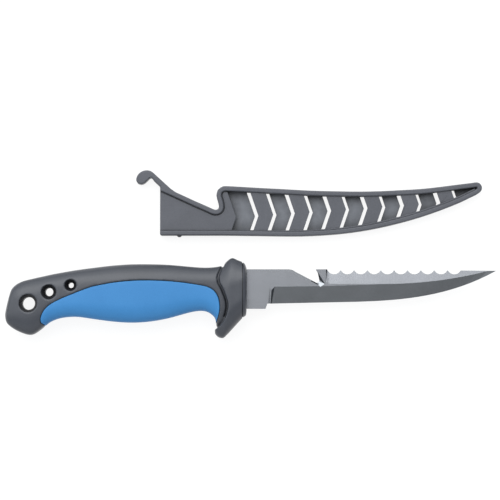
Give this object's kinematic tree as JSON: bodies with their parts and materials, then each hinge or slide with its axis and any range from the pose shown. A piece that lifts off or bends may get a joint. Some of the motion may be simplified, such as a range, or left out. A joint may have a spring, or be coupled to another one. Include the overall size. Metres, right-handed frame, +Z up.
{
  "type": "fishing knife",
  "caption": "Fishing knife with a swept blade, line notch and scaler on the back, a two-part moulded handle with butt holes, and a vented sheath with a spring hook.",
  "frame": {"origin": "on the table under the middle of the whole outline of the knife and its sheath, which lie flat side by side", "axes": "+X along the blade towards its tip, +Y from the cutting edge towards the back of the blade, +Z up from the table"},
  "size_m": [0.2496, 0.0858, 0.02],
  "materials": {
    "blade_steel": "satin ground stainless steel with a dull grey coat",
    "black_moulding": "matte black moulding with a fine sparked grain",
    "blue_grip": "satin blue soft grip",
    "sheath_plastic": "satin charcoal polypropylene"
  },
  "bodies": {
    "knife": {"blade": "blade_steel", "handle_body": "black_moulding", "grip": "blue_grip"},
    "sheath": {"sheath": "sheath_plastic"}
  },
  "joints": [
    {"name": "sheath_draw", "type": "slide", "parent": "knife", "child": "sheath", "axis": [1, 0, 0], "range_m": [0, 0.137]}
  ]
}
